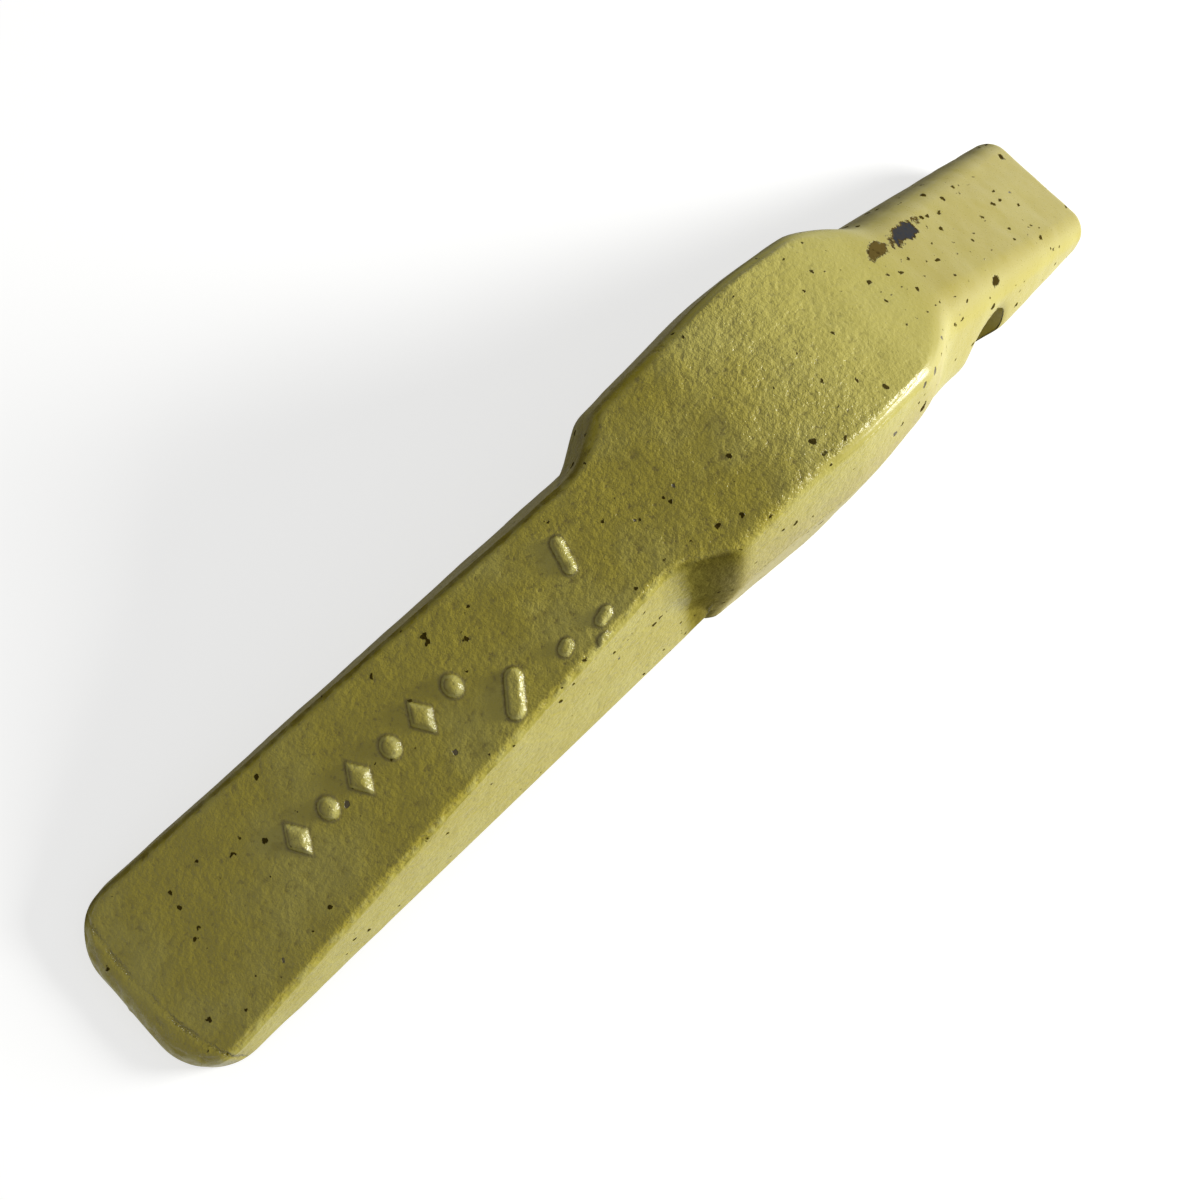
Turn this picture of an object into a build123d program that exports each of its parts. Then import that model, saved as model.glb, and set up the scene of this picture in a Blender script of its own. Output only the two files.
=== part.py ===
from build123d import *
import math
import os

# Bucket tooth adapter, one steel casting.
# It is drawn from its lip corner at x = 0, z = 0: the strap lies on the bucket lip
# towards -X, the nose points towards +X, and Y runs across. The last step lays it down
# as it rests on a floor, with the origin under its middle.

# Lip seat and strap
lip_thickness = 20.0
strap_length = 169.0
strap_width = 55.2
strap_draft = 15.5
strap_tail_rise = 14.2
tail_thickness = 6.0
tail_corner_radius = 15.0
strap_edge_radius = 4.0

# Body
body_width = 65.0
body_rear_width = 58.8
parting_height = 26.0
upper_draft = 17.0
lower_draft = 1.5
crest_offset = 23.0
crest_height = 48.0
crest_front_rise = 5.0
flare_offset = 3.5
flare_angle = 33.0
flare_root_radius = 14.0
flare_shoulder_radius = 10.0
widest_offset = 46.0
barrel_radius = 120.0
shoulder_offset = 78.2
shoulder_width = 58.4
shoulder_angle = 42.0
shoulder_radius = 8.0
toe_offset = 82.0
body_edge_radius = 3.0

# Nose, measured along and across its own parting line
nose_angle = 22.2
pin_offset = 114.0
pin_height = -5.5
shoulder_to_pin = 37.0
pin_to_tip = 69.0
nose_root_width = 57.4
nose_root_draft = 21.5
nose_root_rise = 28.0
nose_root_drop = 18.0
nose_root_radius = 8.0
nose_tip_width = 46.8
nose_tip_draft = 15.0
nose_tip_rise = 9.0
nose_tip_drop = 9.0
nose_tip_radius = 6.0
nose_side_radius = 14.0
tip_edge_radius = 3.5

# Tooth pin and its retainer
pin_bore = 14.0
retainer_bore = 22.0
retainer_depth = 9.0

# Weld preparation and small edges
weld_bevel = 7.0
bottom_edge_radius = 1.0

# Clearance that only makes the blocks larger than the profile that trims them
margin = 5.0


def rise(angle):
    """Slope of a line that climbs at this angle."""
    return math.tan(math.radians(angle))


# Places that follow from the sizes above
nose_forward = Vector(math.cos(math.radians(nose_angle)), 0, -math.sin(math.radians(nose_angle)))
nose_up = Vector(math.sin(math.radians(nose_angle)), 0, math.cos(math.radians(nose_angle)))
pin_centre = Vector(pin_offset, 0, pin_height)
root_centre = pin_centre - nose_forward * shoulder_to_pin
tip_centre = pin_centre + nose_forward * pin_to_tip
root_top = root_centre + nose_up * nose_root_rise


def side_profile():
    """Strap and body seen from the side, with the weld bevel; the nose hides the front end."""
    tail_bottom = (-strap_length, 0)
    tail_top = (-strap_length, tail_thickness)
    crest = (crest_offset, crest_height)
    front_top = (root_top.X, root_top.Z)
    inner_front = (pin_centre.X - retainer_bore / 2, pin_centre.Z)
    strap_top = TangentArc(tail_top, crest, tangent=(1, rise(strap_tail_rise)))
    body_top = TangentArc(crest, front_top, tangent=(1, rise(crest_front_rise)))
    rest = Polyline(
        front_top, inner_front, (toe_offset, -lip_thickness),
        (weld_bevel, -lip_thickness), (0, weld_bevel - lip_thickness),
        (0, 0), tail_bottom, tail_top,
    )
    return Plane.XZ * make_face([strap_top, body_top, rest])


def strap_block(profile):
    """Strap with drafted flanks, rounded tail corners and rounded top edges."""
    top_height = crest_height + margin
    top_width = strap_width - 2 * top_height * rise(strap_draft)
    section = Polyline(
        (-strap_width / 2, 0), (strap_width / 2, 0),
        (top_width / 2, top_height), (-top_width / 2, top_height),
        close=True,
    )
    tail_plane = Plane(origin=(-strap_length, 0, 0), x_dir=(0, 1, 0), z_dir=(1, 0, 0))
    strap = extrude(tail_plane * make_face(section), strap_length + crest_offset) & profile
    tail_edges = strap.faces().sort_by(Axis.X)[0].edges().sort_by(Axis.Y)
    strap = fillet([tail_edges[0], tail_edges[-1]], tail_corner_radius)
    top_edges = strap.faces().sort_by(Axis.Z)[-1].edges().sort_by(Axis.X)
    return fillet(top_edges[:-1], strap_edge_radius)


def body_outline():
    """Plan of the body at its parting line: flare, barrel side and shoulder."""
    flank = strap_width / 2 - parting_height * rise(strap_draft)
    rear = body_rear_width / 2
    shoulder = shoulder_width / 2
    flare_root = flare_offset - (rear - flank) / rise(flare_angle)
    shoulder_end = nose_root_width / 4 - margin
    side = [
        (flare_root - 2 * flare_root_radius, margin / 4 - flank),
        (flare_root, -flank),
        (flare_offset, -rear),
        (widest_offset, -body_width / 2),
        (shoulder_offset, -shoulder),
        (shoulder_offset + (shoulder - shoulder_end) / rise(shoulder_angle), -shoulder_end),
    ]
    radii = [flare_root_radius, flare_shoulder_radius, barrel_radius, shoulder_radius]
    right = FilletPolyline(*side, radius=radii)
    left = mirror(right, Plane.XZ)
    front = Line(side[-1], (side[-1][0], -side[-1][1]))
    back = Line(side[0], (side[0][0], -side[0][1]))
    return make_face([right, front, left, back])


def body_block(profile):
    """Body drafted both ways from its parting line, with rounded top edges."""
    outline = body_outline()
    upper = extrude(outline, crest_height - parting_height + margin, taper=upper_draft)
    lower = extrude(outline, -(parting_height + lip_thickness), taper=lower_draft)
    body = Pos(0, 0, parting_height) * (upper + lower) & profile
    top_faces = body.faces().sort_by(Axis.Z)[-2:]
    top_edges = [edge for face in top_faces for edge in face.edges()]
    return fillet([edge for edge in top_edges if abs(edge.center().Y) > margin], body_edge_radius)


def nose_section(distance, width, flank_draft, drop, climb, radius):
    """Six-sided section across the nose, widest at the parting line, with rounded corners."""
    side = width / 2
    bottom = side - drop * rise(flank_draft)
    top = side - climb * rise(flank_draft)
    corners = [(-bottom, -drop), (bottom, -drop), (side, 0), (top, climb), (-top, climb), (-side, 0)]
    radii = [radius, radius, nose_side_radius, radius, radius, nose_side_radius]
    outline = make_face(FilletPolyline(*corners, radius=radii, close=True))
    centre = pin_centre + nose_forward * distance
    return Plane(origin=centre, x_dir=(0, 1, 0), z_dir=nose_forward) * outline


def nose_block():
    """Wedge nose, lofted from inside the body to the tip."""
    root = nose_section(
        -shoulder_to_pin, nose_root_width, nose_root_draft,
        nose_root_drop, nose_root_rise, nose_root_radius,
    )
    tip = nose_section(
        pin_to_tip, nose_tip_width, nose_tip_draft,
        nose_tip_drop, nose_tip_rise, nose_tip_radius,
    )
    nose = loft([root, tip], ruled=True)
    tip_face = nose.faces().sort_by(Axis((0, 0, 0), tuple(nose_forward)))[-1]
    return fillet(tip_face.edges(), tip_edge_radius)


def crosswise_hole(diameter, end):
    """Round hole across the nose on the pin's axis, from far on the -Y side up to Y = end."""
    start = -body_width
    hole = Cylinder(diameter / 2, end - start, align=(Align.CENTER, Align.CENTER, Align.MAX))
    return Pos(pin_centre.X, start, pin_centre.Z) * Rot(90, 0, 0) * hole


def rest_angle():
    """Slope of the floor line that touches the end of the strap and the rounded nose tip."""
    bottom_slope = math.atan((nose_root_drop - nose_tip_drop) / (shoulder_to_pin + pin_to_tip))
    forward = pin_to_tip - tip_edge_radius
    down = nose_tip_drop + tip_edge_radius * math.tan(bottom_slope)
    up = tip_edge_radius / math.cos(bottom_slope) - down
    rounding_centre = pin_centre + nose_forward * forward + nose_up * up
    span = rounding_centre - Vector(-strap_length, 0, 0)
    return math.degrees(math.atan2(-span.Z, span.X) + math.asin(tip_edge_radius / span.length))


os.makedirs("parts", exist_ok=True)
profile = extrude(side_profile(), body_width, both=True)
casting = strap_block(profile) + body_block(profile) + nose_block()
low_edges = casting.edges().filter_by_position(Axis.Z, -lip_thickness, -lip_thickness)
casting = fillet([edge for edge in low_edges if abs(edge.center().Y) > margin], bottom_edge_radius)

# The pin goes right through; the retainer lies in a pocket on the -Y side
pin_share = shoulder_to_pin / (shoulder_to_pin + pin_to_tip)
width_at_pin = nose_root_width + (nose_tip_width - nose_root_width) * pin_share
casting = casting - crosswise_hole(pin_bore, body_width)
casting = casting - crosswise_hole(retainer_bore, retainer_depth - width_at_pin / 2)

# Resting position, with the origin under the middle
casting = Rot(0, -rest_angle(), 0) * casting
box = casting.bounding_box()
casting = Pos(-box.center().X, 0, -box.min.Z) * casting
export_step(casting, "parts/adapter_casting.step")
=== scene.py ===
"""Looks of a painted cast-steel bucket tooth adapter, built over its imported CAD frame.

The casting is one skin: rays leave a spine inside the metal and stop where a field of rounded
half-spaces, with the same drafts and sizes as the solid, changes sign.
"""

import math
from functools import partial

import bmesh
import bpy
import numpy as np
from bpy.props import FloatProperty, FloatVectorProperty, IntProperty, PointerProperty
from bpy.types import Operator, Panel, PropertyGroup
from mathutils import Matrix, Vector


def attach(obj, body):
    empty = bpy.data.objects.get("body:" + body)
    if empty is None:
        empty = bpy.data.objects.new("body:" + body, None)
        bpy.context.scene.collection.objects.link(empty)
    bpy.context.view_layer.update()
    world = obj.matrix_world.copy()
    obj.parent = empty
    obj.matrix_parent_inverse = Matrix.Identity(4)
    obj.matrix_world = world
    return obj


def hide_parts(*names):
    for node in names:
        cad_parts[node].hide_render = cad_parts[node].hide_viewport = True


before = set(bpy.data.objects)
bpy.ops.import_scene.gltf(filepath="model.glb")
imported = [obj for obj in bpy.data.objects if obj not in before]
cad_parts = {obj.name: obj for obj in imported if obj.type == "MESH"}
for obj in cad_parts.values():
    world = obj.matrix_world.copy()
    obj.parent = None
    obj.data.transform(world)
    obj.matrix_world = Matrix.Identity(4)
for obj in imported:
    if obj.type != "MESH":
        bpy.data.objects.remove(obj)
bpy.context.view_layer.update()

bl_info = {
    "name": "Bucket tooth adapter",
    "version": (1, 0, 0),
    "blender": (4, 5, 0),
    "location": "3D View > Sidebar > Adapter",
    "description": "Builds the painted adapter casting and its studio",
    "category": "Add Mesh",
}


# Properties


def length(name, description, size):
    """A size property in metres whose default is given in millimetres."""
    return FloatProperty(name=name, description=description, default=size / 1000, unit="LENGTH")


def angle(name, description, degrees):
    """An angle property whose default is given in degrees."""
    return FloatProperty(
        name=name, description=description, default=math.radians(degrees), subtype="ANGLE"
    )


def srgb(code):
    """Linear colour of an sRGB hex code."""
    parts = [int(code[i : i + 2], 16) / 255 for i in (1, 3, 5)]
    return [c / 12.92 if c <= 0.04045 else ((c + 0.055) / 1.055) ** 2.4 for c in parts]


def colour(name, description, code):
    """A colour property whose default is an sRGB hex code."""
    return FloatVectorProperty(
        name=name, description=description, default=srgb(code), size=3, subtype="COLOR"
    )


class StrapSizes(PropertyGroup):
    """The long strap that is welded along the bucket."""

    length: length("Length", "From the lip face to the tail", 169.0)
    width: length("Width", "Across the underside", 55.2)
    draft: angle("Flank draft", "Lean of the flanks", 15.5)
    tail_rise: angle("Rise at the tail", "Slope of the top at the tail", 14.2)
    tail_thickness: length("Tail thickness", "Height of the tail's end", 6.0)
    tail_corner: length("Tail corner", "Radius of the tail's corners in plan", 15.0)
    edge: length("Top edge", "Rounding of the top edges", 1.9)
    tail_edge: length("Tail edge", "Rounding of the tail's top edge", 3.1)


class BodySizes(PropertyGroup):
    """The broad body that hooks over the lip and stops the tooth."""

    width: length("Width", "Greatest width, before its corner is rounded", 65.0)
    rear_width: length("Rear width", "Width just ahead of the flare", 58.8)
    parting: length("Parting height", "Height of the widest line", 26.0)
    upper_draft: angle("Upper draft", "Lean of the sides above the parting line", 17.0)
    lower_draft: angle("Lower draft", "Lean of the sides below the parting line", 1.5)
    crest: length("Crest offset", "Where the top is highest on the strap's side", 23.0)
    crest_height: length("Crest height", "Height of the crest", 48.0)
    crest_rise: angle("Rise past the crest", "Slope of the top just past the crest", 5.0)
    flare: length("Flare offset", "Where the flare reaches the rear width", 3.5)
    flare_angle: angle("Flare angle", "How steeply the body widens", 33.0)
    flare_corner: length("Flare corner", "Radius of that corner", 10.0)
    widest: length("Widest offset", "Where the body is widest", 46.0)
    barrel: length("Barrel radius", "Rounding of the widest corner", 120.0)
    shoulder: length("Shoulder offset", "Where the shoulder starts", 78.2)
    shoulder_width: length("Shoulder width", "Width there", 58.4)
    shoulder_angle: angle("Shoulder angle", "How steeply the shoulder closes", 42.0)
    shoulder_corner: length("Shoulder corner", "Radius of that corner", 8.0)
    toe: length("Toe offset", "Front end of the underside", 82.0)
    edge: length("Top edge", "Rounding of the top edges", 2.7)
    lip: length("Lip thickness", "Plate that the body hooks over", 20.0)
    bevel: length("Weld bevel", "Bevel at the seat's lower edge", 7.0)


class NoseSizes(PropertyGroup):
    """The wedge nose that carries the tooth, about its own sloping parting line."""

    slope: angle("Nose slope", "How far the nose's parting line dips", 22.2)
    pin_x: length("Pin offset", "Pin axis ahead of the lip face", 114.0)
    pin_z: length("Pin height", "Pin axis above the lip's top", -5.5)
    root: length("Root to pin", "From the root section to the pin", 37.0)
    tip: length("Pin to tip", "From the pin to the tip's face", 69.0)
    root_width: length("Root width", "Width at the root", 57.4)
    root_draft: angle("Root draft", "Lean of the flanks at the root", 21.5)
    root_rise: length("Root rise", "Root's height above the parting line", 28.0)
    root_drop: length("Root drop", "Root's depth below the parting line", 18.0)
    root_edge: length("Root edge", "Rounding of the long edges at the root", 8.0)
    tip_width: length("Tip width", "Width at the tip", 46.8)
    tip_draft: angle("Tip draft", "Lean of the flanks at the tip", 15.0)
    tip_half: length("Tip half thickness", "Rise and drop at the tip", 9.0)
    tip_edge: length("Tip edge", "Rounding of the long edges at the tip", 6.0)
    end_edge: length("End edge", "Rounding round the tip's face", 4.2)


class PinSizes(PropertyGroup):
    """The cross hole and the retainer's pocket."""

    bore: length("Pin bore", "Diameter of the hole right through", 14.0)
    pocket: length("Retainer pocket", "Diameter of the pocket", 22.0)
    depth: length("Pocket depth", "Depth of the pocket at the pin's axis", 9.0)
    rim: length("Rolled rim", "Width of the worn rim round the pocket", 1.6)
    rim_dip: length("Rim dip", "How far that rim is rolled in", 0.55)


class CastSizes(PropertyGroup):
    """What moulding sand and the pattern leave on the skin."""

    root_fillet: length("Root fillet", "Filling where flare and shoulder meet", 2.6)
    nose_fillet: length("Nose fillet", "Filling between shoulder and nose", 2.2)
    lump: length("Lumps", "Height of the low waves of the cast skin", 0.22)
    ripple: length("Ripples", "Height of the short waves of the cast skin", 0.07)
    burr: length("Burrs", "Height of the burrs on the strap's top edges", 0.22)
    pip_size: length("Foundry pip", "Size of the raised pips on the strap", 9.0)
    pip_height: length("Pip height", "How far the pips stand up", 1.5)
    pip_pitch: length("Pip pitch", "Distance between pips along the strap", 9.9)
    tail_line: length("Tail line inset", "From the tail's end to the line across it", 6.2)
    columns: IntProperty(name="Columns", description="Faces round the skin", default=200)


class PaintColours(PropertyGroup):
    """Olive-yellow shop enamel and what shows through it."""

    enamel: colour("Enamel", "Alkyd enamel in the light", "#A29529")
    # Also the lighter colour of the painted highlight and sheen on lit sides
    thin: colour("Thin enamel", "Where the film is thin on high spots", "#B7B060")
    pooled: colour("Pooled enamel", "Where the film is thick in hollows", "#86791D")
    lean: colour("Lean enamel", "Where the film is stained and lean", "#A59A66")
    # Painted shade colour: the pits' bottoms, the pips' lee sides and the ring round their foot
    crevice_shade: colour("Crevice", "Bottoms of the pits between the sand grains", "#574B18")
    # Painted shade colour for the flanks turned from the lamp and the flare's face
    dry: colour("Flank shade", "Painted shade on flanks turned from the lamp, mottled", "#4C4119")
    speck: colour("Speck", "Overspray and burnt sand", "#30240E")
    steel: colour("Bare steel", "Scale-grey steel in a chip", "#33363C")
    rust: colour("Rust", "Thin rust round a chip", "#46331F")


class RestPlace(PropertyGroup):
    """How the drawing lies in the row frame, on its strap end and nose tip."""

    turn: angle("Turn", "Turn about Y that lifts the nose", 6.536923)
    shift_x: length("Shift along", "Move along X after the turn", -6.9199)
    shift_z: length("Shift up", "Move up after the turn", 19.2402)


class StageSettings(PropertyGroup):
    """Floor, lamps and camera."""

    floor: colour("Floor", "Matt board under the part", "#BCBCBA")
    camera_at: FloatVectorProperty(
        name="Camera position", description="Where the camera stands", size=3, subtype="XYZ",
        unit="LENGTH", default=(-0.117305, -0.041499, 0.312873),
    )
    camera_turn: FloatVectorProperty(
        name="Camera turn", description="Euler angles of the camera", size=3, subtype="EULER",
        default=[math.radians(a) for a in (16.946020, -7.722487, -44.509403)],
    )
    lens: FloatProperty(
        name="Lens", description="Focal length in mm on a 36 mm frame", default=35.65
    )
    key_power: FloatProperty(
        name="Key lamp", description="Power of the soft key lamp", default=25.0, unit="POWER"
    )
    key_size: length("Key size", "Side of the key lamp", 420.0)
    key_at: FloatVectorProperty(
        name="Key position", description="Where the key lamp hangs", size=3, subtype="XYZ",
        unit="LENGTH", default=(0.942, -0.742, 0.504),
    )
    sky: FloatProperty(name="Sky", description="Strength of the even light", default=0.34)


# Fields of the casting


def rounded_both(a, b, radius):
    """Inside a and inside b, the outer corner rounded: min(max(a, b), -r) + |max((a, b) + r, 0)|."""
    corner = np.hypot(np.maximum(a + radius, 0), np.maximum(b + radius, 0))
    return np.minimum(np.maximum(a, b), -radius) + corner


def rounded_either(a, b, radius):
    """Inside a or inside b, the inner corner filled: the same formula with both signs turned."""
    return -rounded_both(-a, -b, radius)


def soft_max(a, b, width):
    """The larger of a and b with a soft ridge: the mean plus half of sqrt((a - b)^2 + width^2)."""
    return 0.5 * (a + b + np.sqrt((a - b) ** 2 + width**2))


def smooth_step(low, high, value):
    """0 below low, 1 above high, and 3s^2 - 2s^3 between."""
    s = np.clip((value - low) / (high - low), 0, 1)
    return s * s * (3 - 2 * s)


def over_arc(x, z, start, slope, end):
    """Height over the arc that leaves start at a slope and passes end: |p - centre| - radius."""
    normal = np.array([-math.sin(slope), math.cos(slope)])
    chord = np.array(end) - np.array(start)
    radius = chord @ chord / (2 * (chord @ normal))
    centre = np.array(start) + radius * normal
    return np.hypot(x - centre[0], z - centre[1]) - abs(radius)


def rounded_path(points, radii):
    """Points of a path whose inner corners are arcs: each runs from tangent point to tangent point."""
    points = np.array(points, float)
    path = [points[:1]]
    for before, corner, after, radius in zip(points, points[1:], points[2:], radii):
        back = (before - corner) / np.linalg.norm(before - corner)
        ahead = (after - corner) / np.linalg.norm(after - corner)
        half = math.acos(np.clip(back @ ahead, -1, 1)) / 2
        bisector = (back + ahead) / np.linalg.norm(back + ahead)
        centre = corner + bisector * radius / math.sin(half)
        start = corner + back * radius / math.tan(half) - centre
        stop = corner + ahead * radius / math.tan(half) - centre
        share = np.linspace(0, 1, 24)[:, None]
        turn = math.acos(np.clip(start @ stop / radius**2, -1, 1))
        arc = (np.sin((1 - share) * turn) * start + np.sin(share * turn) * stop) / math.sin(turn)
        path.append(centre + arc)
    path.append(points[-1:])
    return np.concatenate(path)


def mm(value):
    """Millimetres of a length property."""
    return value * 1000


def body_plan(body):
    """Half width of the body's parting line along x: straight runs joined by arcs."""
    rear, half, front = mm(body.rear_width) / 2, mm(body.width) / 2, mm(body.shoulder_width) / 2
    flare, shoulder, far = mm(body.flare), mm(body.shoulder), 60.0
    return rounded_path(
        [
            (flare - (rear + far) / math.tan(body.flare_angle), -far),
            (flare, rear),
            (mm(body.widest), half),
            (shoulder, front),
            (shoulder + (front + far) / math.tan(body.shoulder_angle), -far),
        ],
        [mm(body.flare_corner), mm(body.barrel), mm(body.shoulder_corner)],
    )


def nose_axes(nose):
    """Pin axis point and the nose's forward and up directions in the XZ plane."""
    pin = np.array([mm(nose.pin_x), mm(nose.pin_z)])
    forward = np.array([math.cos(nose.slope), -math.sin(nose.slope)])
    up = np.array([math.sin(nose.slope), math.cos(nose.slope)])
    return pin, forward, up


def strap_flank(strap, body, x, y, z):
    """Strap seen from above: drafted flanks and tail, its corners rounded in plan."""
    flank = (y - mm(strap.width) / 2 + z * math.tan(strap.draft)) * math.cos(strap.draft)
    plan = rounded_both(flank, -mm(strap.length) - x, mm(strap.tail_corner))
    return np.maximum(plan, np.maximum(x - mm(body.crest), -z - 1))


def body_flank(body, x, y, z):
    """Body seen from above: distance to its plan, leaning in both ways from the parting line."""
    plan = body_plan(body)
    width = np.interp(x, plan[:, 0], plan[:, 1])
    slope = np.gradient(plan[:, 1], plan[:, 0] + np.arange(len(plan)) * 1e-9)
    reach = (y - width) / np.hypot(1, np.interp(x, plan[:, 0], slope))
    height = z - mm(body.parting)
    upper = reach * math.cos(body.upper_draft) + height * math.sin(body.upper_draft)
    lower = reach * math.cos(body.lower_draft) - height * math.sin(body.lower_draft)
    return soft_max(upper, lower, 0.7)


def nose_field(nose, x, y, z):
    """Six-sided wedge: every side is a line in the section that moves evenly from root to tip."""
    pin, forward, up = nose_axes(nose)
    along = (x - pin[0]) * forward[0] + (z - pin[1]) * forward[1]
    height = (x - pin[0]) * up[0] + (z - pin[1]) * up[1]
    span = mm(nose.root) + mm(nose.tip)
    share = np.clip((along + mm(nose.root)) / span, -0.1, 1.1)

    def between(root, tip):
        """Value at each point's share of the way from root to tip."""
        return root + (tip - root) * share

    half = mm(nose.tip_half)
    root_lean, tip_lean = math.tan(nose.root_draft), half * math.tan(nose.tip_draft)
    rise = between(mm(nose.root_rise), half)
    drop = between(mm(nose.root_drop), half)
    side = between(mm(nose.root_width), mm(nose.tip_width)) / 2
    top = side - between(mm(nose.root_rise) * root_lean, tip_lean)
    bottom = side - between(mm(nose.root_drop) * root_lean, tip_lean)
    upper = (y - side - (top - side) * height / rise) * rise / np.hypot(rise, side - top)
    lower = (y - side + (bottom - side) * height / drop) * drop / np.hypot(drop, side - bottom)
    over = (height - rise) * span / math.hypot(span, mm(nose.root_rise) - half)
    under = (-height - drop) * span / math.hypot(span, mm(nose.root_drop) - half)
    flank = soft_max(upper, lower, 1.2)
    edge = between(mm(nose.root_edge), mm(nose.tip_edge))
    wedge = rounded_both(flank, np.maximum(over, under), edge)
    wedge = rounded_both(wedge, along - mm(nose.tip), mm(nose.end_edge))
    return np.maximum(wedge, -along - mm(nose.root))


def past_line(x, z, start, end):
    """Distance in front of the line from start up to end: the cross product over its length."""
    step = end - start
    return ((x - start[0]) * step[1] - (z - start[1]) * step[0]) / np.hypot(*step)


def casting_field(sizes, x, y, z):
    """Signed field of the whole casting; negative in the metal.

    Strap and body share one top, two arcs that meet in the crest. Their flanks are joined with a
    filled corner, cut by that top with a rounded edge, by the underside with its lip seat and by
    the body's front, and the nose is joined last with a filled corner that fades out in its middle.
    """
    strap, body, nose, cast, pins = sizes
    y = np.abs(y)
    tail_top = (-mm(strap.length), mm(strap.tail_thickness))
    crest = (mm(body.crest), mm(body.crest_height))
    pin, forward, up = nose_axes(nose)
    root_top = pin - forward * mm(nose.root) + up * mm(nose.root_rise)
    back_top = over_arc(x, z, tail_top, strap.tail_rise, crest)
    front_top = over_arc(x, z, crest, body.crest_rise, tuple(root_top))
    top = np.where(x < crest[0], back_top, front_top)
    fade = np.clip((z - 2) / 24, 0.02, 1)
    sides = rounded_either(
        strap_flank(strap, body, x, y, z), body_flank(body, x, y, z), mm(cast.root_fillet) * fade
    )
    edge = mm(strap.edge) + (mm(body.edge) - mm(strap.edge)) * smooth_step(-20, 0, x)
    edge = edge + (mm(strap.tail_edge) - mm(strap.edge)) * smooth_step(-158, -167, x)
    field = rounded_both(sides, top, edge)
    lip = mm(body.lip)
    bevel = (mm(body.bevel) - x - z - lip) / math.sqrt(2)
    seat = np.maximum(np.minimum(np.maximum(-x, bevel), -z), -z - lip)
    low_edge = np.where(x < -1, 0.7, 2.0)
    field = rounded_both(field, seat, low_edge)
    toe = np.array([mm(body.toe), -lip])
    inner = pin - np.array([mm(pins.pocket) / 2, 0.0])
    front = np.maximum(past_line(x, z, toe, inner), past_line(x, z, inner, root_top))
    front_edge = 1.2
    field = rounded_both(field, front, front_edge)
    filling = 0.3 + mm(cast.nose_fillet) * smooth_step(12, 18, y)
    return rounded_either(field, nose_field(nose, x, y, z), filling)


# Relief


def capsule(x, y, centre, reach, turn):
    """Distance from a line of half length reach through centre, turned by an angle."""
    dx, dy = x - centre[0], y - centre[1]
    along = dx * math.cos(turn) + dy * math.sin(turn)
    across = -dx * math.sin(turn) + dy * math.cos(turn)
    return np.hypot(np.maximum(np.abs(along) - reach, 0), across)


def relief(sizes, x, y):
    """Height of the raised pips on the strap's top, and distance from the nearest outline.

    A pip is a plateau with a steep foot, the smooth step of its distance field, which is negative
    on the pip: a disc uses the distance, a diamond the sum of both offsets, a gate stub the
    distance from a short line. Discs and diamonds keep rising to their middle.
    """
    strap, cast = sizes[0], sizes[3]
    size, pitch = mm(cast.pip_size) / 2, mm(cast.pip_pitch)
    first = -mm(strap.length) + 56.5
    number = np.clip(np.round((x - first) / pitch), 0, 5)
    dx, dy = x - first - number * pitch, y - 0.4
    disc = np.hypot(dx, dy * 0.8) - size * 0.55
    diamond = (np.abs(dx) + np.abs(dy) * 0.62) * 0.85 - size * 0.62
    shape = np.where(number % 2 < 0.5, diamond, disc)
    up = smooth_step(0.3, -1.3, shape) * (0.9 + 0.25 * np.clip(-shape / size, 0, 1))
    for spot, reach, turn, wide, tall in (
        ((-54.0, -11.0), 3.8, 0.9, 2.3, 0.85),
        ((-24.5, 4.0), 3.2, 1.3, 1.7, 0.80),
        ((-38.5, -11.7), 0.6, 0.4, 1.7, 0.55),
        ((-27.5, -12.6), 1.2, 0.2, 1.5, 0.60),
        ((-31.0, -16.8), 0.4, 0.0, 1.5, 0.45),
    ):
        far = capsule(x, y, spot, reach, turn) - wide
        up = np.maximum(up, tall * smooth_step(0.3, -1.0, far))
        shape = np.minimum(shape, far)
    return mm(cast.pip_height) * up, shape


def waves(points, wavelength, count, seed):
    """Sum of sines with random directions, phases and lengths near one wavelength, within +-1."""
    rng = np.random.default_rng(seed)
    direction = rng.normal(size=(count, 3))
    direction /= np.linalg.norm(direction, axis=1)[:, None]
    number = 2 * math.pi / (wavelength * rng.uniform(0.7, 1.5, count))
    phase = rng.uniform(0, 2 * math.pi, count)
    total = np.sin(points @ (direction * number[:, None]).T + phase).sum(axis=-1)
    return np.clip(total / (1.6 * math.sqrt(count)), -1, 1)


# Skin


# Spine in mm: how far it stays inside tail and tip, and where its nose part starts
TAIL_ROOM = 9.0
TIP_ROOM = 8.5
NOSE_START = -44.0

# Halvings of a ray's stretch to find the skin
HALVINGS = 26

# Distance in mm at which no line shows
FAR = 9.0


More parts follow.
